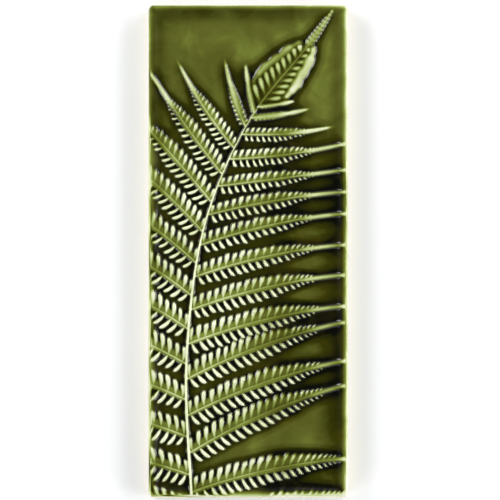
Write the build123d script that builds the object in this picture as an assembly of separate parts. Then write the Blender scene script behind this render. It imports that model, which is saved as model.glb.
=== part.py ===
from build123d import *
from build123d.topology import SkipClean
import os
from math import atan2, cos, degrees, radians, sin

os.makedirs("parts", exist_ok=True)

# A moulded ceramic wall tile, fired in one piece: a slab with a raised rim, a sunk field
# and one fern frond that stands up from the field. The tile lies face up, its length along Y.
# All sizes are in millimetres and all angles in degrees.

# Slab
tile_width = 100.0
tile_length = 247.0
tile_thickness = 10.0
corner_radius = 2.5
face_arris = 1.1
back_arris = 0.5

# Sunk field
rim_width = 1.3
rim_slope_width = 2.9
field_depth = 2.0
field_corner_radius = 5.0
smallest_corner = 1.0

# How far the parts of the frond lie below the rim, how deep its blades are rooted in the slab,
# and how deep its ribs and stem are set into what they stand on
leaf_below_rim = 0.75
rib_below_rim = 0.4
stem_below_rim = 0.1
root_depth = 0.5
overlap = 0.1
frond_edge_margin = 1.3

# The stem's route over the face, as shares of the tile's width and length. It starts beyond the
# lower edge, because the tile shows a piece of a longer frond.
stem_route = (
    (0.222, -0.080),
    (0.216, 0.000),
    (0.198, 0.115),
    (0.188, 0.245),
    (0.210, 0.386),
    (0.275, 0.544),
    (0.395, 0.680),
    (0.580, 0.810),
    (0.770, 0.903),
    (0.925, 0.990),
)
stem_foot_width = 1.9
stem_tip_width = 0.6
stem_stations = 40

# The frond ends in a slender spike with no branches
spike_length = 25.0
spike_foot_width = 4.0
spike_tip_width = 1.0
spike_stations = 8

# Branches: the gaps between them along the stem. Behind the spike they stand close in a
# cluster, and from its end the gaps open to the wide ones of the main branches.
cluster_gap = 4.0
main_gap = 14.5
foot_gap = 20.0
cluster_end = 52.0
main_start = 82.0
first_branch_from_tip = 24.7
left_branch_lead = 0.44
stem_end_margin = 1.0

# Branch length by distance from the stem's tip
length_profile = (
    (24.0, 5.0),
    (30.0, 7.8),
    (40.0, 10.8),
    (50.0, 13.2),
    (59.5, 13.6),
    (62.0, 20.5),
    (68.0, 31.0),
    (73.5, 37.0),
    (78.0, 49.0),
    (86.0, 54.0),
    (92.0, 60.0),
    (121.0, 70.5),
    (137.0, 75.0),
    (170.0, 79.5),
    (205.0, 84.0),
    (284.0, 86.0),
)
shortest_ribbed_branch = 15.0

# A branch leaves the stem at an angle that grows from the tip to the foot, near the tip it
# curves in over the stem, and lower down it leans back. Both curves are in degrees per mm.
tip_angle_off_stem = 45.0
foot_angle_off_stem = 76.0
angle_grows_from = 66.0
angle_grows_to = 261.0
incurve = 0.4
recline = 0.2
incurve_until = 62.0
recline_from = 135.0

# How much closer to the stem's line the branches of each side lie than this rule gives, by
# distance from the stem's tip: no two branches of a pressed frond lie quite alike
right_lift_profile = (
    (68.0, 0.0),
    (78.0, -3.0),
    (91.0, -1.0),
    (106.0, -2.5),
    (137.0, -2.6),
    (153.0, -4.5),
    (187.0, -4.0),
    (205.0, 1.0),
    (223.0, -1.0),
    (241.5, 4.0),
    (261.0, -6.0),
    (281.0, -3.0),
)
left_lift_profile = (
    (61.0, -7.0),
    (65.0, 3.0),
    (73.0, 5.0),
    (85.0, -4.0),
    (100.0, 0.0),
)

# Ribs
spine_step = 5.0
fewest_steps = 3
rib_foot_width = 1.3
rib_tip_width = 0.5
web_beside_rib = 0.4

# Leaflets along a branch. A branch's half width is a share of its length that goes by the
# distance from the stem's tip, and so is the part of its length that bears leaflets.
right_half_width_profile = (
    (60.0, 0.09),
    (110.0, 0.076),
    (150.0, 0.08),
    (180.0, 0.088),
    (284.0, 0.094),
)
left_half_width_profile = (
    (60.0, 0.085),
    (80.0, 0.095),
    (284.0, 0.095),
)
right_leafy_share_profile = (
    (60.0, 0.75),
    (91.0, 0.72),
    (137.0, 0.77),
    (205.0, 0.84),
    (261.0, 0.88),
    (284.0, 0.92),
)
left_leafy_share_profile = (
    (60.0, 0.75),
    (85.0, 0.68),
    (100.0, 0.72),
    (120.0, 0.8),
    (284.0, 0.9),
)
leaflet_pitch_base = 1.0
leaflet_pitch_growth = 0.036
leaflet_crowding = 0.4
leaflet_crowding_from = 0.6
leaflet_fill = 0.52
leaflet_tip_fill = 0.28
upper_foot_lean = 66.0
upper_end_lean = 40.0
lower_foot_lean = 75.0
lower_end_lean = 58.0
shortest_leaflet = 0.5
first_leaflet_gap = 2.2
half_width_profile = (
    (0.0, 0.85),
    (0.12, 1.0),
    (0.5, 1.0),
    (0.65, 0.88),
    (0.78, 0.68),
    (0.88, 0.48),
    (1.0, 0.27),
)

# The plain leaflets that stand in for short branches
plain_half_width = 0.7
plain_widest_at = 0.45
narrowest_toothed_half_width = 1.6

field_floor = tile_thickness - field_depth


def along(profile, x):
    """The value of a profile of (x, value) pairs at x, in straight lines between the pairs."""
    for (x0, v0), (x1, v1) in zip(profile, profile[1:]):
        if x <= x1:
            return v0 + (v1 - v0) * max(0.0, x - x0) / (x1 - x0)
    return profile[-1][1]


def share_between(x, start, end):
    return min(1.0, max(0.0, (x - start) / (end - start)))


def ramp(x, start, end):
    """0 before start, 1 after end, and a smooth rise between them."""
    t = share_between(x, start, end)
    return t * t * (3 - 2 * t)


def heading(angle):
    return Vector(cos(radians(angle)), sin(radians(angle)))


def outline(points):
    return make_face(Polyline(*points, close=True))


def slab():
    blank = extrude(RectangleRounded(tile_width, tile_length, corner_radius), tile_thickness)
    blank = fillet(blank.edges().group_by(Axis.Z)[-1], face_arris)
    return chamfer(blank.edges().group_by(Axis.Z)[0], back_arris)


def sunk_field():
    """The hollow between the rim's slopes, as the solid that is cut away."""
    mouth_inset = 2 * rim_width
    floor_inset = mouth_inset + 2 * rim_slope_width
    floor_corner = max(smallest_corner, field_corner_radius - rim_slope_width)
    mouth = RectangleRounded(tile_width - mouth_inset, tile_length - mouth_inset, field_corner_radius)
    floor = RectangleRounded(tile_width - floor_inset, tile_length - floor_inset, floor_corner)
    return loft([Pos(0, 0, field_floor) * floor, Pos(0, 0, tile_thickness) * mouth])


def stem_line():
    return Spline(*[((x - 0.5) * tile_width, (y - 0.5) * tile_length) for x, y in stem_route])


def on_stem(line, from_tip):
    """The point on the stem this far from its tip, and its direction there, towards the tip."""
    distance = line.length - from_tip
    place = line.position_at(distance, position_mode=PositionMode.LENGTH)
    tangent = line.tangent_at(distance, position_mode=PositionMode.LENGTH)
    return Vector(place.X, place.Y), degrees(atan2(tangent.Y, tangent.X))


def stem_run(line, length, count):
    """Points and directions along the last length of the stem, up to its tip."""
    return [on_stem(line, length * (1 - i / count)) for i in range(count + 1)]


def branch_gap(from_tip):
    opened = (main_gap - cluster_gap) * ramp(from_tip, cluster_end, main_start)
    below = max(0.0, from_tip - main_start) * (foot_gap - main_gap) / (angle_grows_to - main_start)
    return cluster_gap + opened + below


def branch_feet(stem_length):
    """(distance from the stem's tip, side) of each branch: 1 is the left side, and -1 the right."""
    feet = []
    from_tip = first_branch_from_tip
    while from_tip < stem_length - stem_end_margin:
        gap = branch_gap(from_tip)
        feet.append((from_tip, -1))
        feet.append((from_tip + (1 - left_branch_lead) * gap, 1))
        from_tip += gap
    return [foot for foot in feet if foot[0] < stem_length - stem_end_margin]


def branch_spine(foot, direction, side, from_tip, length):
    """Points along a branch's rib, each with its direction."""
    bend = -incurve + (incurve + recline) * ramp(from_tip, incurve_until, recline_from)
    growth = share_between(from_tip, angle_grows_from, angle_grows_to) ** 0.5
    spread = tip_angle_off_stem + (foot_angle_off_stem - tip_angle_off_stem) * growth
    spread -= along(right_lift_profile if side < 0 else left_lift_profile, from_tip)
    angle = direction + side * (spread - bend * length / 2)
    steps = max(fewest_steps, round(length / spine_step))
    step = length / steps
    point, spine = foot, []
    for _ in range(steps + 1):
        spine.append((point, angle))
        point = point + heading(angle) * step
        angle += side * bend * step
    return spine


def at_share(spine, share):
    place = share * (len(spine) - 1)
    i = min(int(place), len(spine) - 2)
    (p0, a0), (p1, a1) = spine[i], spine[i + 1]
    t = place - i
    return p0 + (p1 - p0) * t, a0 + (a1 - a0) * t


def rib_width(share):
    return rib_foot_width + (rib_tip_width - rib_foot_width) * share


def ribbon(spine, foot_width, tip_width):
    """The outline of a rib or of the stem, tapered from its foot to its tip."""
    left, right = [], []
    for i, (point, angle) in enumerate(spine):
        share = i / (len(spine) - 1)
        half = (foot_width + (tip_width - foot_width) * share) / 2
        across = heading(angle + 90) * half
        left.append(point + across)
        right.append(point - across)
    return outline(left + right[::-1])


def leaflet_row(spine, length, half_width, leafy_share, side, leans):
    """One side of a branch's toothed outline, from its foot to its last leaflet."""
    widest_pitch = leaflet_pitch_base + leaflet_pitch_growth * length
    points = []
    station = first_leaflet_gap
    while station < length * leafy_share:
        share = station / length
        place = share / leafy_share
        reach = half_width * along(half_width_profile, place)
        root_offset = rib_width(share) / 2 + web_beside_rib
        if reach - root_offset < shortest_leaflet:
            break
        pitch = widest_pitch * (1 - leaflet_crowding * ramp(place, leaflet_crowding_from, 1.0))
        point, angle = at_share(spine, share)
        lean = leans[0] + (leans[1] - leans[0]) * share
        root = point + heading(angle + side * 90) * root_offset
        tip = point + heading(angle + side * lean) * (reach / sin(radians(lean)))
        forward = heading(angle) * (pitch * leaflet_fill / 2)
        blunt = heading(angle + side * (lean - 90)) * (pitch * leaflet_tip_fill / 2)
        points += [root - forward, tip - blunt, tip + blunt, root + forward]
        station += pitch
    return points


def branch_blade(spine, length, side, from_tip):
    """The flat of a branch with its leaflets. A short branch near the tip is one plain leaflet."""
    on_right = side < 0
    half_width = length * along(right_half_width_profile if on_right else left_half_width_profile, from_tip)
    if half_width < narrowest_toothed_half_width:
        middle, angle = at_share(spine, plain_widest_at)
        across = heading(angle + 90) * max(plain_half_width, half_width)
        return outline([spine[0][0], middle + across, spine[-1][0], middle - across])
    leafy_share = along(right_leafy_share_profile if on_right else left_leafy_share_profile, from_tip)
    rows = {
        -side: leaflet_row(spine, length, half_width, leafy_share, -side, (upper_foot_lean, upper_end_lean)),
        side: leaflet_row(spine, length, half_width, leafy_share, side, (lower_foot_lean, lower_end_lean)),
    }
    tip, angle = spine[-1]
    across = heading(angle + 90) * (rib_tip_width / 2 + web_beside_rib)
    foot, angle = spine[0]
    across_foot = heading(angle + 90) * (rib_foot_width / 2 + web_beside_rib)
    ring = [foot - across_foot, foot + across_foot] + rows[1] + [tip + across, tip - across] + rows[-1][::-1]
    return outline(ring)


def frond():
    """The flats of the blades, the ribs of the branches and the stem, as outlines on the face."""
    line = stem_line()
    blades, ribs = [], []
    for from_tip, side in branch_feet(line.length):
        foot, direction = on_stem(line, from_tip)
        length = along(length_profile, from_tip)
        spine = branch_spine(foot, direction, side, from_tip, length)
        blades.append(branch_blade(spine, length, side, from_tip))
        if length > shortest_ribbed_branch:
            ribs.append(ribbon(spine, rib_foot_width, rib_tip_width))
    blades.append(ribbon(stem_run(line, spike_length, spike_stations), spike_foot_width, spike_tip_width))
    stem = ribbon(stem_run(line, line.length, stem_stations), stem_foot_width, stem_tip_width)
    return blades, ribs, stem


def raised(faces, bottom, below_rim, bounds):
    """Outlines joined and clipped to the bounds, raised from the bottom to just under the rim."""
    joined = faces[0].fuse(*faces[1:]) & bounds
    height = tile_thickness - below_rim - bottom
    return [extrude(Pos(0, 0, bottom) * face, height, dir=(0, 0, 1)) for face in joined.faces()]


def wall_tile():
    bounds = RectangleRounded(
        tile_width - 2 * frond_edge_margin, tile_length - 2 * frond_edge_margin, corner_radius
    )
    blades, ribs, stem = frond()
    body = slab() - sunk_field()
    blade_root = field_floor - root_depth
    rib_root = tile_thickness - leaf_below_rim - overlap
    stem_root = tile_thickness - rib_below_rim - overlap
    with SkipClean():
        body = body.fuse(*raised(blades + [stem], blade_root, leaf_below_rim, bounds))
        body = body.fuse(*raised(ribs + [stem], rib_root, rib_below_rim, bounds))
        body = body.fuse(*raised([stem], stem_root, stem_below_rim, bounds))
    return body


if __name__ == "__main__":
    tile = wall_tile()
    export_step(tile, "parts/wall_tile.step", write_pcurves=False)
    print("solids", len(tile.solids()), "volume", round(tile.volume), "faces", len(tile.faces()))
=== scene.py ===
import bpy
import numpy as np
from math import atan2, cos, degrees, hypot, pi, radians, sin, sqrt
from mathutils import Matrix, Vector


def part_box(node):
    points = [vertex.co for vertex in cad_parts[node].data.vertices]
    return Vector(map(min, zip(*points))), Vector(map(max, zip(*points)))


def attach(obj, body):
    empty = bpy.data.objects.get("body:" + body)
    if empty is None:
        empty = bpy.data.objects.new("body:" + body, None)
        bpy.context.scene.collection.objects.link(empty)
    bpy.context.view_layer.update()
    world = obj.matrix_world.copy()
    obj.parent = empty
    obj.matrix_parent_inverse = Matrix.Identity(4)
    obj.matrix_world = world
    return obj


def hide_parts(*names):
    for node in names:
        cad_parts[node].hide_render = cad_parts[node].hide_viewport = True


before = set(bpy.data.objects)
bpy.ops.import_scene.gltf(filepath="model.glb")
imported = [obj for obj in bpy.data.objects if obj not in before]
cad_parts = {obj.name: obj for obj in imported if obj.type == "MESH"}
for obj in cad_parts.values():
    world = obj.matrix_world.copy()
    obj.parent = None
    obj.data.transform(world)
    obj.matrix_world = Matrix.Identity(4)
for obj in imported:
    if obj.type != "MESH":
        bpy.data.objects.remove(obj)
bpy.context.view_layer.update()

# A wall tile of one fired piece: raised rim, sunk field, a fern frond in relief, and a green
# glaze that runs thin on every edge and pools dark in the hollows. Lengths here are in
# millimetres, and go to metres where the meshes are made.

mm = 0.001
tileLow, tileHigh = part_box("wall_tile")
tileWidth = (tileHigh[0] - tileLow[0]) / mm
tileLength = (tileHigh[1] - tileLow[1]) / mm
tileThickness = (tileHigh[2] - tileLow[2]) / mm
dice = np.random.default_rng(41)


# small tools for maps over the tile's face

reliefMap = {
    "step": 0.2,            # spacing of the map's points
}


def smoothRise(x, start, end):
    t = np.clip((x - start) / (end - start), 0.0, 1.0)
    return t * t * (3 - 2 * t)


def alongProfile(profile, x):
    return float(np.interp(x, [p[0] for p in profile], [p[1] for p in profile]))


columns = int(round(tileWidth / reliefMap["step"])) + 1
rows = int(round(tileLength / reliefMap["step"])) + 1
mapX = np.linspace(-tileWidth / 2, tileWidth / 2, columns)
mapY = np.linspace(-tileLength / 2, tileLength / 2, rows)
gridX, gridY = np.meshgrid(mapX, mapY)
stepX = mapX[1] - mapX[0]
stepY = mapY[1] - mapY[0]


def blurred(values, spread):
    # gaussian blur over a map, the edges mirrored so that nothing leaks round
    pad = int(np.ceil(3 * spread / stepX))
    wide = np.pad(values, pad, mode="reflect")
    fy = np.fft.fftfreq(wide.shape[0], stepY)[:, None]
    fx = np.fft.rfftfreq(wide.shape[1], stepX)[None, :]
    kernel = np.exp(-2 * (pi * spread) ** 2 * (fx ** 2 + fy ** 2))
    soft = np.fft.irfft2(np.fft.rfft2(wide) * kernel, s=wide.shape)
    return soft[pad:-pad, pad:-pad]


def cloud(size):
    # seeded unevenness, about -1 to 1, with lumps of this size
    rough = blurred(dice.normal(size=gridX.shape), size)
    return rough / (2.2 * rough.std())


def readMap(values, x, y):
    # value of a map at any points, between its own
    px = np.clip((x - mapX[0]) / stepX, 0, columns - 1.001)
    py = np.clip((y - mapY[0]) / stepY, 0, rows - 1.001)
    i, j = px.astype(int), py.astype(int)
    u, v = px - i, py - j
    low = values[j, i] * (1 - u) + values[j, i + 1] * u
    high = values[j + 1, i] * (1 - u) + values[j + 1, i + 1] * u
    return low * (1 - v) + high * v


# the frond: stem, branches and leaflets

frondShape = {
    "stemRoute": ((0.222, -0.080), (0.216, 0.000), (0.198, 0.115), (0.188, 0.245), (0.210, 0.386),
                  (0.275, 0.544), (0.395, 0.680), (0.580, 0.810), (0.770, 0.903), (0.925, 0.990)),
    "stemHalfWidth": ((0, 0.3), (60, 0.5), (140, 0.75), (280, 0.95)),     # by distance from the tip
    "stemHeight": ((0, 0.7), (60, 0.85), (100, 1.15), (140, 1.5), (280, 1.7)),
    "clusterGap": 4.0,
    "mainGap": 14.5,
    "footGap": 20.0,
    "clusterEnd": 52.0,
    "mainStart": 82.0,
    "firstBranch": 24.7,
    "leftLead": 0.44,
    # length of a branch, by its distance from the tip
    "lengths": ((24.0, 5.0), (30.0, 7.8), (40.0, 10.8), (50.0, 13.2), (59.5, 13.6), (62.0, 20.5),
                (68.0, 31.0), (73.5, 37.0), (78.0, 49.0), (86.0, 54.0), (92.0, 60.0), (121.0, 70.5),
                (137.0, 75.0), (170.0, 79.5), (205.0, 84.0), (284.0, 86.0)),
    "tipAngle": 45.0,
    "footAngle": 76.0,
    "angleGrows": (66.0, 261.0),
    "incurve": 0.4,
    "recline": 0.2,
    "curveTurns": (62.0, 135.0),
    # degrees that a branch is lifted off the rule, by its distance from the tip
    "rightLift": ((68.0, 0.0), (78.0, -3.0), (91.0, -1.0), (106.0, -2.5), (137.0, -2.6),
                  (153.0, -4.5), (187.0, -4.0), (205.0, 1.0), (223.0, -1.0), (241.5, 4.0),
                  (261.0, -6.0), (281.0, -3.0)),
    "leftLift": ((61.0, -7.0), (65.0, 3.0), (73.0, 5.0), (85.0, -4.0), (100.0, 0.0)),
    "spineStep": 0.5,
    "cadSpineStep": 5.0,
    "ribHalfWidth": (0.6, 0.5),         # at the foot and at the end of a branch
    "ribHeight": (1.08, 0.7),
    "shortBranch": 16.0,                # a shorter branch is one plain leaflet of the cluster
    "freeMargin": 5.0,                  # a branch that ends this far in ends on the field
    "fadeRange": (-0.02, 0.12),         # and there it sinks to the ground over this share
    "webHeight": 0.82,
    "webSinks": 0.14,                   # how much lower the web is where the leaflets give out
    "webSinkRange": (0.3, 1.0),
    "webShares": ((0.54, 0.95), (0.24, 0.4)),   # upper and lower row: webbed share near the foot, further out
    "webSpreadRange": (0.3, 0.75),
    "webStart": 3,                      # points left out, clear of the stem's far side
    "webLeast": 0.5,
    "webOffset": 0.35,
    "webWidth": 0.7,
    "webRoundness": 0.55,
    "webSoftness": 0.4,
    # the plain outer end, by place along the leafy part of the branch
    "bladeHalfWidth": ((0.6, 0.7), (0.9, 1.5), (1.1, 1.45), (1.3, 1.25)),
    "bladeCloses": (0.7, 1.0),
    "bladeHeight": 1.05,
    "bladeRises": 0.05,                 # how much higher the blade is at its very end
    "bladeRange": (0.7, 1.0),
    "bladeRoundness": 0.6,
    "bladeFloor": 0.001,
    "freeEndWidth": 0.45,
    "solidLengths": (24.0, 62.0),       # branches as short as this are a blade all along
    "solidEarlier": (1.0, 0.9),
    "solidWidth": 0.62,
    "solidWeb": 0.8,
}

spikeShape = {
    "length": 25.0,
    "halfWidth": ((0.0, 0.6), (7.0, 1.35), (16.0, 2.0), (21.0, 2.3), (25.0, 1.7)),
    "lobeGap": 2.3,
    "lobeLean": 38.0,
    "lobeHalfWidth": 0.95,
    "lobeReach": 1.05,
    "height": 0.9,
    "blunt": 0.4,
    "steps": 30,
    "webWidth": 1.2,
    "webHeight": 0.74,
    "webRoundness": 1.2,
}

clusterShape = {
    "halfWidth": 2.2,
    "height": 1.06,
    "bow": 0.03,
    "blunt": 0.4,
    "club": 0.4,
    "root": 0.14,
    "reach": (0.82, 0.72),              # left and right, how far the leaflets stand out of their web
    "webHalfWidth": 2.6,
    "webReach": 0.84,
    "webHeight": 0.64,
    "webRoundness": 0.5,
    "marginPlace": (0.9, 0.86),         # left and right, as a share of the leaflet
    "marginHalfWidth": (3.3, 3.4),
    "marginHeight": (0.92, 1.5),
    "marginRoundness": 1.3,
    "marginSteps": 60,
    "marginTaper": 6,
    "marginEnds": 0.6,                  # width left at the margin's ends
    "wave": 0.12,
    "wavePhase": 0.7,
}

# Pairs are the upper and the lower row. Places run from 0 at the branch's foot to 1 where the
# leaflets give out.
leafletShape = {
    "pitchBase": 1.0,
    "pitchGrowth": 0.036,
    "fill": (0.8, 0.7),                 # share of the pitch that a leaflet's foot takes up
    # half width of a branch as a share of its length, by distance from the tip
    "rightReach": ((60.0, 0.09), (110.0, 0.074), (150.0, 0.078), (180.0, 0.088), (284.0, 0.094)),
    "leftReach": ((60.0, 0.085), (80.0, 0.095), (284.0, 0.095)),
    "lean": ((66.0, 38.0), (75.0, 58.0)),       # at the branch's foot and at its end
    "shortest": 0.7,
    "firstGap": 2.2,
    "rootOut": 0.35,
    "height": (1.16, 1.38),
    "foot": (0.84, 0.62),               # height at the root as a share of the height
    "loss": (0.16, 0.38),               # how much lower the leaflets are at the branch's end
    "lossRange": (0.15, 0.75),
    "bow": (0.06, 0.075),
    "club": (0.12, 0.35),
    "blunt": (0.5, 0.38),
    "bluntGrows": 0.3,
    "fall": (0.26, 0.16),               # share of a leaflet over which it slopes to its tip
    "fallGrows": (0.3, 0.1),
    "fallRange": (0.2, 0.7),
    # share of the branch that bears leaflets, by distance from the tip
    "rightLeafy": ((60.0, 0.75), (91.0, 0.72), (137.0, 0.77), (205.0, 0.84), (261.0, 0.88),
                   (284.0, 0.92)),
    "leftLeafy": ((60.0, 0.75), (85.0, 0.68), (100.0, 0.72), (120.0, 0.8), (284.0, 0.9)),
    "crowding": 0.4,                    # the leaflets stand closer towards the branch's end
    "endWidthLoss": 0.3,                # and are narrower there
    "endRange": (0.6, 1.0),
    "outline": ((0.0, 0.85), (0.12, 1.0), (0.5, 1.0), (0.65, 0.88), (0.78, 0.68), (0.88, 0.48),
                (1.0, 0.27), (1.2, 0.0)),
    "endTaper": 0.3,                    # share of a leaflet that each of its ends tapers over
    "leastHalfWidth": 0.02,
    "solidReach": 0.2,                  # on a branch that is a blade all along: shorter, lower, sloping
    "solidLoss": 0.45,
    "solidFall": 0.6,
    "leanUneven": 1.5,
    "reachUneven": 0.05,
    "heightUneven": 0.05,
    "widthUneven": 0.06,
    "pitchUneven": 0.04,
}


def smoothLine(points, count):
    # a natural cubic through the points, as (x, y) at even steps of its length
    points = np.array(points, float)
    chord = np.concatenate([[0], np.cumsum(np.hypot(*np.diff(points, axis=0).T))])
    n = len(points)
    matrix, right = np.eye(n), np.zeros((n, 2))
    for i in range(1, n - 1):
        before, after = chord[i] - chord[i - 1], chord[i + 1] - chord[i]
        matrix[i, i - 1:i + 2] = before, 2 * (before + after), after
        right[i] = 6 * ((points[i + 1] - points[i]) / after - (points[i] - points[i - 1]) / before)
    bend = np.linalg.solve(matrix, right)
    t = np.linspace(0, chord[-1], count * 4)
    k = np.clip(np.searchsorted(chord, t, side="right") - 1, 0, n - 2)
    h = (chord[k + 1] - chord[k])[:, None]
    a, b = (chord[k + 1] - t)[:, None] / h, (t - chord[k])[:, None] / h
    curved = ((a ** 3 - a) * bend[k] + (b ** 3 - b) * bend[k + 1]) * h ** 2 / 6
    line = a * points[k] + b * points[k + 1] + curved
    run = np.concatenate([[0], np.cumsum(np.hypot(*np.diff(line, axis=0).T))])
    even = np.linspace(0, run[-1], count)
    evenLine = np.stack([np.interp(even, run, line[:, 0]), np.interp(even, run, line[:, 1])], axis=1)
    return evenLine, run[-1]


stemPoints, stemLength = smoothLine(
    [((x - 0.5) * tileWidth, (y - 0.5) * tileLength) for x, y in frondShape["stemRoute"]], 1200)


def onStem(fromTip):
    # the place on the stem this far from the tip, and the stem's direction there in degrees
    place = (1 - fromTip / stemLength) * (len(stemPoints) - 1)
    i = int(np.clip(place, 1, len(stemPoints) - 2))
    along = stemPoints[i + 1] - stemPoints[i - 1]
    here = stemPoints[i] + (stemPoints[i + 1] - stemPoints[i]) * (place - i)
    return here, degrees(atan2(along[1], along[0]))


def branchGap(fromTip):
    f = frondShape
    opened = (f["mainGap"] - f["clusterGap"]) * float(smoothRise(fromTip, f["clusterEnd"], f["mainStart"]))
    mainRun = f["angleGrows"][1] - f["mainStart"]
    below = max(0.0, fromTip - f["mainStart"]) * (f["footGap"] - f["mainGap"]) / mainRun
    return f["clusterGap"] + opened + below


def branchFeet():
    # distance from the tip and side of every branch: 1 is left of the stem, -1 right
    feet, fromTip = [], frondShape["firstBranch"]
    while fromTip < stemLength - 1:
        gap = branchGap(fromTip)
        feet += [(fromTip, -1), (fromTip + (1 - frondShape["leftLead"]) * gap, 1)]
        fromTip += gap
    return [foot for foot in feet if foot[0] < stemLength - 1]


def branchSpine(foot, direction, side, fromTip, length):
    f = frondShape
    bend = -f["incurve"] + (f["incurve"] + f["recline"]) * float(smoothRise(fromTip, *f["curveTurns"]))
    low, high = f["angleGrows"]
    growth = sqrt(np.clip((fromTip - low) / (high - low), 0, 1))
    spread = f["tipAngle"] + (f["footAngle"] - f["tipAngle"]) * growth
    spread -= alongProfile(f["rightLift"] if side < 0 else f["leftLift"], fromTip)
    count = max(6, round(length / f["spineStep"]))
    step = length / count
    startSpread = spread - bend * (length + f["cadSpineStep"]) / 2
    angles = direction + side * (startSpread + bend * step * (np.arange(count + 1) + 0.5))
    moves = np.stack([np.cos(np.radians(angles)), np.sin(np.radians(angles))], axis=1) * step
    points = np.concatenate([[foot], foot + np.cumsum(moves, axis=0)[:-1]])
    return points, angles


def patch(low, high):
    # the map's rows and columns that cover a box, or None outside the tile
    i0, i1 = np.searchsorted(mapX, [low[0], high[0]])
    j0, j1 = np.searchsorted(mapY, [low[1], high[1]])
    if i0 >= i1 or j0 >= j1:
        return None
    return slice(j0, j1), slice(i0, i1)


def pressRidge(relief, points, halfWidths, heights, roundness=1.0):
    # a rounded ridge along a line of points, laid over what is there
    for k in range(len(points) - 1):
        a, b = points[k], points[k + 1]
        reach = max(halfWidths[k], halfWidths[k + 1])
        cells = patch(np.minimum(a, b) - reach, np.maximum(a, b) + reach)
        if cells is None:
            continue
        x, y = gridX[cells] - a[0], gridY[cells] - a[1]
        run = b - a
        t = np.clip((x * run[0] + y * run[1]) / max(1e-9, run @ run), 0, 1)
        away = np.hypot(x - t * run[0], y - t * run[1])
        half = halfWidths[k] + (halfWidths[k + 1] - halfWidths[k]) * t
        top = heights[k] + (heights[k + 1] - heights[k]) * t
        ridge = top * np.clip(1 - (away / half) ** 2, 0, 1) ** roundness
        relief[cells] = np.maximum(relief[cells], ridge)


def pressLeaflet(relief, root, tip, halfWidth, height, bow, side, blunt, club=0.0, fall=0.16, foot=0.6):
    # one grain-shaped leaflet bowed towards the branch's foot, thickest further out where it is
    # a club
    taper = leafletShape["endTaper"]
    run = tip - root
    length = hypot(*run)
    along = run / length
    across = np.array([-along[1], along[0]]) * side
    margin = halfWidth + abs(bow) * length
    cells = patch(np.minimum(root, tip) - margin, np.maximum(root, tip) + margin)
    if cells is None:
        return
    x, y = gridX[cells] - root[0], gridY[cells] - root[1]
    s = (x * along[0] + y * along[1]) / length
    inside = np.clip(s, 0.001, 0.999)
    away = x * across[0] + y * across[1] - bow * length * 4 * inside * (1 - inside)
    half = halfWidth * np.clip(inside / taper, 0, 1) ** 0.5 * np.clip((1 - inside) / taper, 0, 1) ** blunt
    half = half * (1 - club * (1 - inside)) + leafletShape["leastHalfWidth"]
    swell = foot + (1 - foot) * np.sin(pi * inside ** (1 + club))
    top = height * swell * smoothRise(1 - inside, -0.05, fall)
    body = np.clip(1 - (away / half) ** 2, 0, 1)
    ridge = np.where((s > 0) & (s < 1), top * body, 0)
    relief[cells] = np.maximum(relief[cells], ridge)


def clusterLeaflet(relief, web, points, side):
    # a leaflet of the cluster near the tip, a club on a web; gives the place of the blade's margin
    c = clusterShape
    i = int(side < 0)
    tip = points[int((len(points) - 1) * c["reach"][i])]
    root = points[int((len(points) - 1) * c["root"])]
    pressLeaflet(relief, root, tip, c["halfWidth"], c["height"], c["bow"], side, c["blunt"], c["club"])
    covered = points[:int(len(points) * c["webReach"])]
    each = np.ones(len(covered))
    pressRidge(web, covered, c["webHalfWidth"] * each, c["webHeight"] * each, c["webRoundness"])
    return points[int((len(points) - 1) * c["marginPlace"][i])]


def pressMargins(web, margins):
    # the soft wavy margin that joins the ends of the cluster's leaflets, stronger on the right
    c = clusterShape
    for side, line in margins.items():
        i = int(side < 0)
        if len(line) > 2:
            run = smoothLine(line, c["marginSteps"])[0]
            place = np.linspace(0, 1, c["marginSteps"])
            ends = np.clip(c["marginTaper"] * np.minimum(place, 1 - place), c["marginEnds"], 1)
            wavy = 1 + c["wave"] * np.sin(place * 2 * pi * len(line) / 2 + c["wavePhase"])
            pressRidge(web, run, c["marginHalfWidth"][i] * ends * wavy, c["marginHeight"][i] * ends ** 0.5,
                       c["marginRoundness"])


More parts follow.
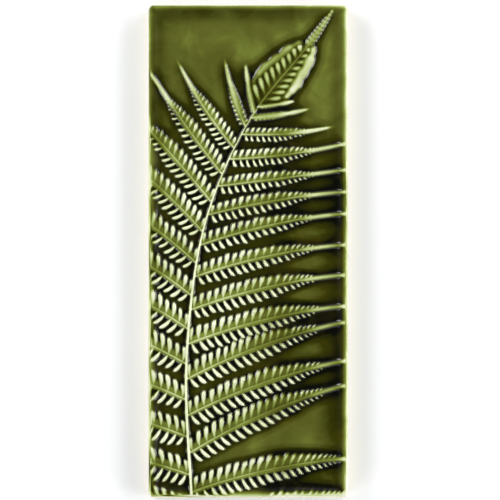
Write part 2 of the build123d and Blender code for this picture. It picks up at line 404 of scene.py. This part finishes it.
def pressLeafletRow(relief, points, angles, row, i, length, leafy, reachMost, solid):
    # the leaflets at one side of a branch, from its foot outwards
    g = leafletShape
    widest = g["pitchBase"] + g["pitchGrowth"] * length
    station = g["firstGap"]
    while station < length * leafy:
        share = station / length
        place = share / leafy
        reach = reachMost * alongProfile(g["outline"], place)
        if reach < g["shortest"]:
            break
        nearEnd = float(smoothRise(place, *g["endRange"]))
        pitch = widest * (1 - g["crowding"] * nearEnd)
        lean = np.interp(share, [0, 1], g["lean"][i]) + dice.normal() * g["leanUneven"]
        k = share * (len(points) - 1)
        j = int(k)
        here = points[j] + (points[min(j + 1, len(points) - 1)] - points[j]) * (k - j)
        aim, across = radians(angles[j] + row * lean), radians(angles[j] + row * 90)
        reach *= (1 + g["reachUneven"] * dice.normal()) * (1 - g["solidReach"] * solid)
        root = here + np.array([cos(across), sin(across)]) * g["rootOut"]
        tip = here + np.array([cos(aim), sin(aim)]) * reach / sin(radians(lean))
        loss = g["loss"][i]
        height = g["height"][i] * (1 + g["heightUneven"] * dice.normal())
        height *= 1 - loss * float(smoothRise(place, *g["lossRange"])) - g["solidLoss"] * solid * (1 - loss)
        wide = pitch * g["fill"][i] / 2 * (1 + g["widthUneven"] * dice.normal())
        wide *= 1 - g["endWidthLoss"] * nearEnd
        blunt = g["blunt"][i] + g["bluntGrows"] * share
        fall = g["fall"][i] + g["fallGrows"][i] * float(smoothRise(place, *g["fallRange"]))
        fall = max(fall, g["solidFall"] * solid)
        pressLeaflet(relief, root, tip, wide, height, g["bow"][i], row, blunt, g["club"][i], fall,
                     g["foot"][i])
        station += pitch * (1 + g["pitchUneven"] * dice.normal())


def pressBranch(relief, web, foot, direction, side, fromTip):
    # rib, plain outer blade, webs and leaflets of one branch; gives the margin's place in the cluster
    f, g = frondShape, leafletShape
    length = alongProfile(f["lengths"], fromTip)
    points, angles = branchSpine(foot, direction, side, fromTip, length)
    if length < f["shortBranch"]:
        return clusterLeaflet(relief, web, points, side)
    shares = np.linspace(0, 1, len(points))
    reachMost = length * alongProfile(g["rightReach"] if side < 0 else g["leftReach"], fromTip)
    leafy = alongProfile(g["rightLeafy"] if side < 0 else g["leftLeafy"], fromTip)
    places = shares / leafy
    halfOutline = reachMost * np.interp(places, *zip(*g["outline"]))
    solid = 1 - float(smoothRise(length, *f["solidLengths"]))
    closes = [place - earlier * solid for place, earlier in zip(f["bladeCloses"], f["solidEarlier"])]
    late = smoothRise(places, *closes)                  # the outer part closes to a plain stalk
    free = abs(points[-1][0]) < tileWidth / 2 - f["freeMargin"]
    fade = smoothRise(1 - shares, *f["fadeRange"]) if free else np.ones(len(shares))
    ribHalf = np.interp(shares, [0, 1], f["ribHalfWidth"])
    ribTop = np.interp(shares, [0, 1], f["ribHeight"])
    pressRidge(relief, points, ribHalf, ribTop * fade)
    bladeHalf = np.interp(places, *zip(*f["bladeHalfWidth"]))
    if free:
        bladeHalf = bladeHalf * np.interp(shares, [leafy, 1], [1, f["freeEndWidth"]])
    bladeHalf = np.maximum(bladeHalf, f["solidWidth"] * solid * halfOutline)
    bladeTop = f["bladeHeight"] * (1 + f["bladeRises"] * smoothRise(shares, *f["bladeRange"]))
    pressRidge(web, points, bladeHalf, bladeTop * late * fade + f["bladeFloor"], f["bladeRoundness"])
    webSinks = f["webSinks"] * smoothRise(places, *f["webSinkRange"]) * (1 - solid)
    webTop = f["webHeight"] * fade * (1 - webSinks)
    start = f["webStart"]
    for row in (1, -1):
        i = 0 if row == -side else 1                    # the upper row or the lower one
        nearFoot, further = f["webShares"][i]
        share = nearFoot + (f["solidWeb"] - nearFoot) * late * solid
        share = share + (further - nearFoot) * smoothRise(places, *f["webSpreadRange"]) * (1 - solid)
        webHalf = np.maximum(f["webLeast"], halfOutline * share)
        normals = np.stack([-np.sin(np.radians(angles)), np.cos(np.radians(angles))], axis=1) * row
        middle = points + normals * (webHalf * f["webOffset"])[:, None]
        pressRidge(web, middle[start:], webHalf[start:] * f["webWidth"], webTop[start:], f["webRoundness"])
        pressLeafletRow(relief, points, angles, row, i, length, leafy, reachMost, solid)


def pressSpike(web):
    # the slender end of the frond: a narrow blade with small lobes at both edges
    s = spikeShape
    for k in range(int(s["length"] / s["lobeGap"])):
        fromTip = (k + 0.5) * s["lobeGap"]
        here, direction = onStem(fromTip)
        half = alongProfile(s["halfWidth"], fromTip)
        for side in (1, -1):
            aim = radians(direction + side * s["lobeLean"])
            tip = here + np.array([cos(aim), sin(aim)]) * half * s["lobeReach"] / sin(radians(s["lobeLean"]))
            pressLeaflet(web, here, tip, s["lobeHalfWidth"], s["height"], 0.0, side, s["blunt"])
    fromTips = [s["length"] * (1 - k / s["steps"]) for k in range(s["steps"] + 1)]
    run = [onStem(fromTip)[0] for fromTip in fromTips]
    halves = [s["webWidth"] * alongProfile(s["halfWidth"], fromTip) for fromTip in fromTips]
    pressRidge(web, run, halves, [s["webHeight"]] * len(run), s["webRoundness"])


def pressFrond():
    leaves, web = np.zeros_like(gridX), np.zeros_like(gridX)
    margins = {1: [], -1: []}
    for fromTip, side in branchFeet():
        foot, direction = onStem(fromTip)
        edge = pressBranch(leaves, web, foot, direction, side, fromTip)
        if edge is not None:
            margins[side].append(edge)
    pressMargins(web, margins)
    fromTip = stemLength * (1 - np.linspace(0, 1, len(stemPoints)))[::4]
    pressRidge(leaves, stemPoints[::4], np.interp(fromTip, *zip(*frondShape["stemHalfWidth"])),
               np.interp(fromTip, *zip(*frondShape["stemHeight"])))
    pressSpike(web)
    return leaves, blurred(web, frondShape["webSoftness"])


leaves, web = pressFrond()
print("frond pressed:", len(branchFeet()), "branches, stem", round(stemLength, 1), "mm")


# the clay face: rim, slope, field and the sunk ground round the frond

faceShape = {
    "cornerRadius": 2.5,
    "arris": 1.1,
    "rimWidth": 0.9,
    "slopeWidth": 6.0,
    "fieldDepth": 1.75,         # to the glaze that fills the field a little
    "fieldCorner": 3.6,
    "pillow": 0.25,             # how much the open field swells in its middle
    "groundDrop": 0.25,         # the ground steps down round the frond
    "shoreWidth": 3.4,          # how far the step runs outside the leaflets
    "shoreSteps": ((0.22, 0.03, 0.11), (0.78, 0.1, 0.32)),     # share, and from where to where it is taken
    "frondFrom": 0.3,           # relief that counts as frond
    "webSunk": 0.1,
    "openInset": (4.0, 5.0),    # inset and corner of the swelling field, and how far it rises over
    "openRise": 18.0,
    "unevenness": 0.05,
    "edgeWander": 0.12,
    "rimSoftness": 0.9,
    "rimUneven": 0.035,
    "rimFlat": 1.0,             # the frond stops this far in from the tile's edge
    "underRim": 0.15,
}


def distanceInside(x, y, inset, corner):
    # distance in from a rounded rectangle that lies this far inside the tile's outline
    halfX, halfY = tileWidth / 2 - inset, tileLength / 2 - inset
    overX = np.maximum(np.abs(x) - (halfX - corner), 0)
    overY = np.maximum(np.abs(y) - (halfY - corner), 0)
    nearest = np.minimum(halfX - np.abs(x), halfY - np.abs(y))
    return np.where((overX > 0) & (overY > 0), corner - np.hypot(overX, overY), nearest)


def shapeFace(leaves, web):
    f = faceShape
    floor = tileThickness - f["fieldDepth"]
    wander = cloud(9.0) * f["edgeWander"]
    inward = blurred(distanceInside(gridX, gridY, f["rimWidth"], f["fieldCorner"]), f["rimSoftness"])
    inward = inward + wander * 2
    slope = 1 - smoothRise(inward, 0.0, f["slopeWidth"])
    rim = f["fieldDepth"] * slope * (1 - f["rimUneven"] * (1 + cloud(7.0)))
    frond = np.maximum(leaves, np.clip(web - f["webSunk"], 0, None))
    near = blurred((frond > f["frondFrom"]).astype(float), f["shoreWidth"])
    shore = sum(share * smoothRise(near, start, end) for share, start, end in f["shoreSteps"])
    openField = smoothRise(distanceInside(gridX, gridY, *f["openInset"]), 0.0, f["openRise"])
    ground = f["pillow"] * openField * (1 - shore) - f["groundDrop"] * shore
    ground = ground + f["unevenness"] * cloud(5.0) + 0.3 * f["unevenness"] * cloud(1.8)
    relief = ground * (1 - smoothRise(frond, 0.0, 0.7)) + frond
    edge = distanceInside(gridX, gridY, 0.0, f["cornerRadius"])
    clay = np.maximum(relief * (1 - slope) + rim, np.minimum(relief, f["fieldDepth"] - f["underRim"]))
    clay = np.where(edge < f["rimFlat"], rim, np.minimum(clay, f["fieldDepth"]))
    return floor + clay, relief, shore * (1 - smoothRise(frond, 0.1, 0.8)), edge


clay, relief, sunkGround, rimDistance = shapeFace(leaves, web)
print("clay face shaped")


# the glaze: thin on the crests, deep in the hollows

glazeRun = {
    "coat": 0.40,               # depth of colour on the open field, 0 thin to 1 black
    "fineSpread": 0.55,
    "fineGain": 0.4,
    "wideSpread": 1.5,
    "wideGain": 0.62,
    "highThin": 0.12,           # every millimetre of height over the ground thins the glaze by this
    "closeSpread": 2.6,         # hollows count in full only where leaflets close them in
    "closeRange": (0.22, 0.5),
    "openShare": 0.2,
    "sunkGround": 0.24,         # extra depth on the ground round the frond
    "poolSpread": 1.3,
    "poolDrop": 0.3,            # the glaze stands this far under the mean height in a gap
    "rim": ((0.0, 0.04), (0.5, 0.08), (1.0, 0.15), (1.5, 0.25), (2.0, 0.35), (2.5, 0.42), (3.2, 0.48),
            (4.2, 0.52), (6.0, 0.52), (7.5, 0.48), (9.5, 0.43)),
    "rimWander": 0.25,
    "mapSoftness": 0.25,
    "leftRim": (0.16, 1.2, 4.2),        # extra depth of colour at a rim, darker along the left and top and lighter along the right, and the band in from its edge
    "rightRim": (-0.05, 3.5, 1.0),
    "topRim": (0.15, 5.0, 1.0),
    "lowerRight": ((45, 90), (0, 20)),  # from the top edge down and from the middle to the right
    "lowerTrough": 0.12,        # the colour is darker along the lower right rim
    "troughBand": ((1.5, 4), (8, 18)),
    "lowerField": 0.085,        # and a little darker in the lower right field
    "lowerSunk": 0.12,
    "upperField": (0.04, (15, 40), (35, 75)),   # and lighter at the upper right
    "highest": 1.4,
    "sunkFrom": (2.0, 4.0),
    "broadCloud": 0.075,
    "smallCloud": 0.045,
    "poolRim": (1.5, 2.5, 7.0), # no pool on the rim: how far it sinks, and over which band
    "poolJoin": 0.02,
    "thinnest": 0.014,
    "underTop": 0.004,          # keeps the thinned mesh within the slab's height
}


def runGlaze(clay, relief, sunkGround, rimDistance):
    g = glazeRun
    soft = blurred(relief, g["mapSoftness"])
    fine = blurred(relief, g["fineSpread"]) - soft
    wide = blurred(relief, g["wideSpread"]) - soft
    frond = (relief > faceShape["frondFrom"]).astype(float)
    closed = smoothRise(blurred(frond, g["closeSpread"]), *g["closeRange"])
    hollow = g["fineGain"] * np.clip(fine, 0, None) + g["wideGain"] * np.clip(wide, 0, None)
    crest = g["fineGain"] * np.clip(fine, None, 0) + g["wideGain"] * np.clip(wide, None, 0)
    base = np.interp(rimDistance + g["rimWander"] * cloud(4.0), *zip(*g["rim"]))
    extra, start, end = g["leftRim"]
    base = base + extra * (1 - smoothRise(gridX + tileWidth / 2, start, end))
    extra, start, end = g["rightRim"]
    base = base + extra * smoothRise(gridX, tileWidth / 2 - start, tileWidth / 2 - end)
    extra, start, end = g["topRim"]
    base = base + extra * smoothRise(gridY, tileLength / 2 - start, tileLength / 2 - end)
    base = base + g["coat"] - g["rim"][-1][1]
    down, right = g["lowerRight"]
    lowerRight = smoothRise(tileLength / 2 - gridY, *down) * smoothRise(gridX, *right)
    begins, ends = g["troughBand"]
    trough = smoothRise(rimDistance, *begins) * (1 - smoothRise(rimDistance, *ends))
    base = base + g["lowerTrough"] * lowerRight * trough
    thinner, right, up = g["upperField"]
    base = base + g["lowerField"] * lowerRight - thinner * smoothRise(gridX, *right) * smoothRise(gridY, *up)
    depth = base + crest + hollow * (g["openShare"] + (1 - g["openShare"]) * closed)
    depth = depth - g["highThin"] * np.clip(soft, 0, g["highest"])
    sunk = sunkGround * smoothRise(rimDistance, *g["sunkFrom"])
    depth = depth + (g["sunkGround"] + g["lowerSunk"] * lowerRight) * sunk
    depth = depth + g["broadCloud"] * cloud(14.0) + g["smallCloud"] * cloud(5.0)
    soft = blurred(clay, g["mapSoftness"])
    sinks, start, end = g["poolRim"]
    pool = blurred(clay, g["poolSpread"]) - g["poolDrop"] - sinks * (1 - smoothRise(rimDistance, start, end))
    surface = (soft + pool + np.sqrt((soft - pool) ** 2 + g["poolJoin"])) / 2
    surface = np.minimum(surface, tileThickness - g["underTop"])
    depth = (depth + np.sqrt(depth ** 2 + g["thinnest"])) / 2   # never quite bare on the crests
    return np.clip(depth, 0.0, 1.0), surface


glazeDepth, glazeTop = runGlaze(clay, relief, sunkGround, rimDistance)
print("glaze run:", round(float(glazeDepth.min()), 2), "to", round(float(glazeDepth.max()), 2))


# the tile's mesh

tileMesh = {
    "gridStep": 0.24,
    "arrisSteps": 6,
    "faceTarget": 186000,       # triangles kept
    "backBevel": 0.5,
    "sideLevels": (0.25, 0.5, 0.75, 1.0),
    "backInsets": (4.0, 14.0, 30.0),
    "glazeEdge": 4.2,           # how far the glaze runs down the sides
    "glazeEdgeWander": 1.3,
    "glazeEdgeSoft": 0.12,
    "sideDepth": 0.16,          # depth of colour on the sides
    "beadDepth": 0.3,           # and in the bead along the glaze's lower edge
    "beadRise": 0.35,
    "beadWidth": 0.4,
    "sideFrom": (0.3, 1.4),
}


def spacedLine(length):
    # positions from edge to edge, close together over the rounded arris
    arris = faceShape["arris"]
    turn = np.linspace(0, pi / 2, tileMesh["arrisSteps"] + 1)[:-1]
    near = arris * (1 - np.cos(turn))
    middle = length - 2 * arris
    count = int(round(middle / tileMesh["gridStep"]))
    inner = arris + np.linspace(0, middle, count + 1)
    return np.concatenate([near, inner, length - near[::-1]]) - length / 2


def buildTile():
    # the glazed face as a grid with rounded corners and arris, then the sides and the back
    f, t = faceShape, tileMesh
    us, vs = spacedLine(tileWidth), spacedLine(tileLength)
    u, v = np.meshgrid(us, vs)
    fromX, fromY = tileWidth / 2 - np.abs(u), tileLength / 2 - np.abs(v)
    edge = np.minimum(fromX, fromY)
    r = f["cornerRadius"]
    s, q = np.clip((r - fromX) / r, 0, 1), np.clip((r - fromY) / r, 0, 1)
    corner = (s > 0) & (q > 0)
    pull = np.where(corner, np.maximum(s, q) / np.maximum(1e-9, np.hypot(s, q)), 1.0)
    x = np.where(corner, np.sign(u) * (tileWidth / 2 - r + r * s * pull), u)
    y = np.where(corner, np.sign(v) * (tileLength / 2 - r + r * q * pull), v)
    a = f["arris"]
    drop = np.where(edge < a, a - np.sqrt(np.clip(a * a - (a - edge) ** 2, 0, None)), 0)
    z = readMap(glazeTop, x, y) - drop
    ny, nx = x.shape
    index = np.arange(nx * ny).reshape(ny, nx)
    loop = np.concatenate([index[0, :-1], index[:-1, -1], index[-1, :0:-1], index[:0:-1, 0]])
    points = [np.stack([x, y, z], axis=-1).reshape(-1, 3)]
    corners = [index[:-1, :-1], index[:-1, 1:], index[1:, 1:], index[1:, :-1]]
    quads = [np.stack(corners, axis=-1).reshape(-1, 4)]
    edgeX, edgeY, edgeZ = points[0][loop].T
    rings = []                                          # down the sides, then in over the back
    for level in t["sideLevels"]:
        rings.append(np.column_stack([edgeX, edgeY, edgeZ * (1 - level) + t["backBevel"] * level]))
    for inset in (t["backBevel"], *t["backInsets"], tileWidth / 2):
        hx, hy = tileWidth / 2 - inset, tileLength / 2 - inset
        rings.append(np.column_stack([np.clip(edgeX, -hx, hx), np.clip(edgeY, -hy, hy), np.zeros(len(loop))]))
    base = nx * ny
    before = loop
    n = len(loop)
    for extra in rings:
        points.append(extra)
        now = base + np.arange(n)
        quads.append(np.stack([before, now, np.roll(now, -1), np.roll(before, -1)], axis=-1))
        before, base = now, base + n
    return np.concatenate(points), np.concatenate(quads)


def meshFrom(name, points, quads):
    mesh = bpy.data.meshes.new(name)
    mesh.vertices.add(len(points))
    mesh.vertices.foreach_set("co", (points * mm).astype(np.float32).ravel())
    mesh.loops.add(quads.size)
    mesh.loops.foreach_set("vertex_index", quads.astype(np.int32).ravel())
    mesh.polygons.add(len(quads))
    mesh.polygons.foreach_set("loop_start", np.arange(0, quads.size, 4, dtype=np.int32))
    mesh.polygons.foreach_set("loop_total", np.full(len(quads), 4, dtype=np.int32))
    mesh.update(calc_edges=True)
    mesh.validate()
    return mesh


def thinnedMesh(mesh, name, target):
    # merges the doubled points, then keeps the triangles where the relief needs them
    rough = bpy.data.objects.new(name + "_rough", mesh)
    bpy.context.scene.collection.objects.link(rough)
    weld = rough.modifiers.new("weld", "WELD")
    weld.merge_threshold = 1e-6
    thin = rough.modifiers.new("thin", "DECIMATE")
    thin.ratio = target / (2 * len(mesh.polygons))
    evaluated = rough.evaluated_get(bpy.context.evaluated_depsgraph_get())
    kept = bpy.data.meshes.new_from_object(evaluated)
    kept.name = name
    bpy.data.objects.remove(rough)
    bpy.data.meshes.remove(mesh)
    return kept


points, quads = buildTile()
print("tile grid:", len(points), "points")
tileData = thinnedMesh(meshFrom("tileGrid", points, quads), "glazed_tile", tileMesh["faceTarget"])
print("tile mesh:", len(tileData.polygons), "faces")


def dressMesh(mesh):
    # the glaze's depth, the bare clay and the true slopes, read from the maps at each point
    t = tileMesh
    count = len(mesh.vertices)
    co = np.empty(count * 3, np.float32)
    mesh.vertices.foreach_get("co", co)
    co = co.reshape(-1, 3) / mm
    x, y, z = co.T
    edge = distanceInside(x, y, 0.0, faceShape["cornerRadius"])
    onFace = (z > tileThickness - faceShape["fieldDepth"] - 1.2) & (edge > faceShape["arris"])
    depth = readMap(glazeDepth, x, y)
    wave = np.zeros(count)
    waveX, waveY = x / 7.0, y / 7.0
    for k in range(1, 6):
        wave += np.sin(waveX * k * 1.7 + 1.3 * k) * np.cos(waveY * k * 1.3 + 2.1 * k) / k
    line = tileThickness - t["glazeEdge"] + t["glazeEdgeWander"] * wave * 0.6
    bare = np.where(onFace, 0.0, smoothRise(line - z, -t["glazeEdgeSoft"], t["glazeEdgeSoft"]))
    bead = np.exp(-((z - line - t["beadRise"]) / t["beadWidth"]) ** 2)
    sideDepth = t["sideDepth"] + t["beadDepth"] * bead + 0.1 * (wave + 1) * 0.5
    toSide = smoothRise(tileThickness - z, *t["sideFrom"]) * (edge < faceShape["arris"])
    depth = depth * (1 - toSide) + sideDepth * toSide
    for label, values in (("glazeDepth", depth), ("bareClay", bare)):
        layer = mesh.attributes.new(label, "FLOAT", "POINT")
        layer.data.foreach_set("value", values.astype(np.float32))
    slopeY, slopeX = np.gradient(glazeTop, stepY, stepX)
    nx, ny = -readMap(slopeX, x, y), -readMap(slopeY, x, y)
    normals = np.stack([nx, ny, np.ones(count)], axis=1)
    normals /= np.linalg.norm(normals, axis=1)[:, None]
    normals[~onFace] = 0
    mesh.polygons.foreach_set("use_smooth", np.ones(len(mesh.polygons), bool))
    mesh.normals_split_custom_set_from_vertices(normals.tolist())


dressMesh(tileData)
tile = bpy.data.objects.new("glazed_tile", tileData)
bpy.context.scene.collection.objects.link(tile)


# the glaze and the clay as one material

greenGlaze = {
    "colours": ((0.00, (0.86, 0.87, 0.66)), (0.13, (0.53, 0.62, 0.26)), (0.27, (0.22, 0.28, 0.045)),
                (0.42, (0.114, 0.127, 0.019)), (0.62, (0.034, 0.036, 0.001)),
                (0.88, (0.003, 0.0035, 0.0015))),
    "brown": (0.12, 0.10, 0.006),
    "clay": (0.55, 0.42, 0.28),
    "clayDark": (0.40, 0.29, 0.18),
    "gloss": 0.13,              # roughness of the glaze, and how far it goes under and over that
    "glossRange": (-0.03, 0.05),
    "clayRoughness": 0.72,
    "refraction": 1.52,
    # lumps of the unevennesses, in mm
    "mottleSize": 14.0,
    "grainSize": 0.9,
    "brownSize": 15.0,
    "sandSize": 0.5,
    "stainSize": 25.0,
    "glossSize": 4.0,
    "rippleSize": 3.0,
    "mottle": 0.05,
    "grain": 0.012,
    "brownShare": 0.18,
    "stainShare": 0.4,
    "rippleHeight": 0.05,
    "gritHeight": 0.12,
}


def node(tree, kind, **settings):
    made = tree.nodes.new(kind)
    for key, value in settings.items():
        if key in made.inputs:
            made.inputs[key].default_value = value
        else:
            setattr(made, key, value)
    return made


def mathNode(tree, operation, a, b=None, clamp=False):
    made = tree.nodes.new("ShaderNodeMath")
    made.operation = operation
    made.use_clamp = clamp
    for socket, value in zip(made.inputs, (a, b)):
        if value is None:
            continue
        if isinstance(value, (int, float)):
            socket.default_value = value
        else:
            tree.links.new(value, socket)
    return made.outputs[0]


def mixColour(tree, share, a, b):
    made = tree.nodes.new("ShaderNodeMix")
    made.data_type = "RGBA"
    for socket, value in ((made.inputs[0], share), (made.inputs[6], a), (made.inputs[7], b)):
        if isinstance(value, (int, float)):
            socket.default_value = value
        elif isinstance(value, tuple):
            socket.default_value = (*value, 1)
        else:
            tree.links.new(value, socket)
    return made.outputs[2]


def noise(tree, where, size, detail=3.0, roughness=0.5, distortion=0.0):
    made = node(tree, "ShaderNodeTexNoise", Scale=1 / (size * mm), Detail=detail, Roughness=roughness,
                Distortion=distortion)
    tree.links.new(where, made.inputs["Vector"])
    return made.outputs["Fac"]


def spread(tree, value, low, high, toLow=0.0, toHigh=1.0):
    made = node(tree, "ShaderNodeMapRange")
    made.inputs["From Min"].default_value = low
    made.inputs["From Max"].default_value = high
    made.inputs["To Min"].default_value = toLow
    made.inputs["To Max"].default_value = toHigh
    tree.links.new(value, made.inputs["Value"])
    return made.outputs["Result"]


def pooledGlazeMaterial():
    g = greenGlaze
    material = bpy.data.materials.new("pooled_green_glaze")
    material.use_nodes = True
    tree = material.node_tree
    tree.nodes.clear()
    out = node(tree, "ShaderNodeOutputMaterial")
    shader = node(tree, "ShaderNodeBsdfPrincipled")
    shader.inputs["IOR"].default_value = g["refraction"]
    tree.links.new(shader.outputs["BSDF"], out.inputs["Surface"])
    where = node(tree, "ShaderNodeTexCoord").outputs["Object"]
    depth = node(tree, "ShaderNodeAttribute", attribute_name="glazeDepth").outputs["Fac"]
    bare = node(tree, "ShaderNodeAttribute", attribute_name="bareClay").outputs["Fac"]

    mottle = noise(tree, where, g["mottleSize"], 2.0, 0.5, 0.6)
    grain = noise(tree, where, g["grainSize"], 3.0, 0.6)
    depth = mathNode(tree, "ADD", depth, spread(tree, mottle, 0.3, 0.7, -g["mottle"], g["mottle"]))
    depth = mathNode(tree, "ADD", depth, spread(tree, grain, 0.3, 0.7, -g["grain"], g["grain"]), clamp=True)
    ramp = node(tree, "ShaderNodeValToRGB")
    stops = ramp.color_ramp.elements
    while len(stops) < len(g["colours"]):
        stops.new(0.5)
    for stop, (place, colour) in zip(stops, g["colours"]):
        stop.position = place
        stop.color = (*colour, 1)
    tree.links.new(depth, ramp.inputs["Fac"])
    brown = noise(tree, where, g["brownSize"], 3.0, 0.5, 0.8)
    brownness = mathNode(tree, "MULTIPLY", spread(tree, brown, 0.5, 0.75, 0.0, g["brownShare"]),
                         spread(tree, depth, 0.25, 0.4, 0.0, 1.0))
    glazed = mixColour(tree, brownness, ramp.outputs["Color"], g["brown"])

    sand = noise(tree, where, g["sandSize"], 4.0, 0.65)
    biscuit = mixColour(tree, spread(tree, sand, 0.35, 0.7), g["clay"], g["clayDark"])
    stain = noise(tree, where, g["stainSize"], 3.0, 0.5)
    stained = spread(tree, stain, 0.45, 0.75, 0.0, g["stainShare"])
    biscuit = mixColour(tree, stained, biscuit, g["clayDark"])
    colour = mixColour(tree, bare, glazed, biscuit)
    tree.links.new(colour, shader.inputs["Base Color"])

    smooth, dull = (g["gloss"] + change for change in g["glossRange"])
    gloss = spread(tree, noise(tree, where, g["glossSize"], 3.0, 0.5), 0.3, 0.7, smooth, dull)
    rough = mathNode(tree, "ADD", gloss, mathNode(tree, "MULTIPLY", bare, g["clayRoughness"]), clamp=True)
    tree.links.new(rough, shader.inputs["Roughness"])

    ripple = noise(tree, where, g["rippleSize"], 2.0, 0.5)
    grit = mathNode(tree, "MULTIPLY", sand, mathNode(tree, "MULTIPLY", bare, g["gritHeight"]))
    heightSum = mathNode(tree, "ADD", mathNode(tree, "MULTIPLY", ripple, g["rippleHeight"]), grit)
    bump = node(tree, "ShaderNodeBump", Strength=1.0, Distance=mm)
    tree.links.new(heightSum, bump.inputs["Height"])
    tree.links.new(bump.outputs["Normal"], shader.inputs["Normal"])
    return material


tileData.materials.clear()
tileData.materials.append(pooledGlazeMaterial())
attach(tile, "root")
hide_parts("wall_tile")
print("tile dressed")


# floor, lights and camera

studio = {
    "floorSize": 3000.0,
    "floorDrop": -0.2,          # a hair under the tile
    "floorColour": (0.98, 0.98, 0.98),
    "floorGlow": (0.1, 0.11, 0.13),     # a light table lifts the tile's own shadow
    "tentLight": 0.8,
    "zenithLight": 0.03,        # the tent is open over the tile, so its face mirrors little light
    "opening": (0.30, 0.75),    # from the tent to its opening, as the height of the direction
    "lights": (                 # name, place in mm, size in mm, watts
        ("key", (-1050, 700, 480), 900, 15.5),
        ("fill", (1240, -290, 460), 900, 13.5),
        ("back", (950, 850, 470), 900, 11.0),
        ("front", (-950, -850, 470), 900, 9.0),
    ),
    "cameraCentre": (0.9, 0.65),
    "frameWidth": 251.0,
    "cameraHeight": 2000.0,
    "filmWidth": 36.0,
}


def layFloor():
    half = studio["floorSize"] / 2 * mm
    low = studio["floorDrop"] * mm
    corners = [(-half, -half, low), (half, -half, low), (half, half, low), (-half, half, low)]
    mesh = bpy.data.meshes.new("studio_floor")
    mesh.from_pydata(corners, [], [(0, 1, 2, 3)])
    floor = bpy.data.objects.new("studio_floor", mesh)
    bpy.context.scene.collection.objects.link(floor)
    paper = bpy.data.materials.new("pale_paper")
    paper.use_nodes = True
    shader = paper.node_tree.nodes["Principled BSDF"]
    shader.inputs["Base Color"].default_value = (*studio["floorColour"], 1)
    shader.inputs["Emission Color"].default_value = (*studio["floorGlow"], 1)
    shader.inputs["Emission Strength"].default_value = 1.0
    shader.inputs["Roughness"].default_value = 0.9
    shader.inputs["Specular IOR Level"].default_value = 0.1
    mesh.materials.append(paper)


def hangLights():
    for name, place, size, watts in studio["lights"]:
        lamp = bpy.data.lights.new(name, "AREA")
        lamp.size = size * mm
        lamp.energy = watts
        lightObject = bpy.data.objects.new(name, lamp)
        lightObject.location = Vector(place) * mm
        lightObject.rotation_euler = (-Vector(place)).to_track_quat("-Z", "Y").to_euler()
        bpy.context.scene.collection.objects.link(lightObject)
    hangTent()


def hangTent():
    world = bpy.data.worlds.new("studio_world")
    world.use_nodes = True
    tree = world.node_tree
    height = node(tree, "ShaderNodeSeparateXYZ")
    tree.links.new(node(tree, "ShaderNodeTexCoord").outputs["Generated"], height.inputs[0])
    light = spread(tree, height.outputs["Z"], *studio["opening"], studio["tentLight"], studio["zenithLight"])
    tree.links.new(light, tree.nodes["Background"].inputs["Strength"])
    tree.nodes["Background"].inputs["Color"].default_value = (1, 1, 1, 1)
    bpy.context.scene.world = world


def setCamera():
    camera = bpy.data.cameras.new("camera")
    cameraObject = bpy.data.objects.new("camera", camera)
    x, y = studio["cameraCentre"]
    height = studio["cameraHeight"]
    cameraObject.location = (x * mm, y * mm, height * mm)
    camera.sensor_width = studio["filmWidth"]
    fromFace = height - tileThickness + 1.0
    camera.lens = studio["filmWidth"] * fromFace / studio["frameWidth"]
    camera.clip_end = 20.0
    bpy.context.scene.collection.objects.link(cameraObject)
    bpy.context.scene.camera = cameraObject


layFloor()
hangLights()
setCamera()
bpy.context.scene.view_settings.view_transform = "Standard"
print("studio set")
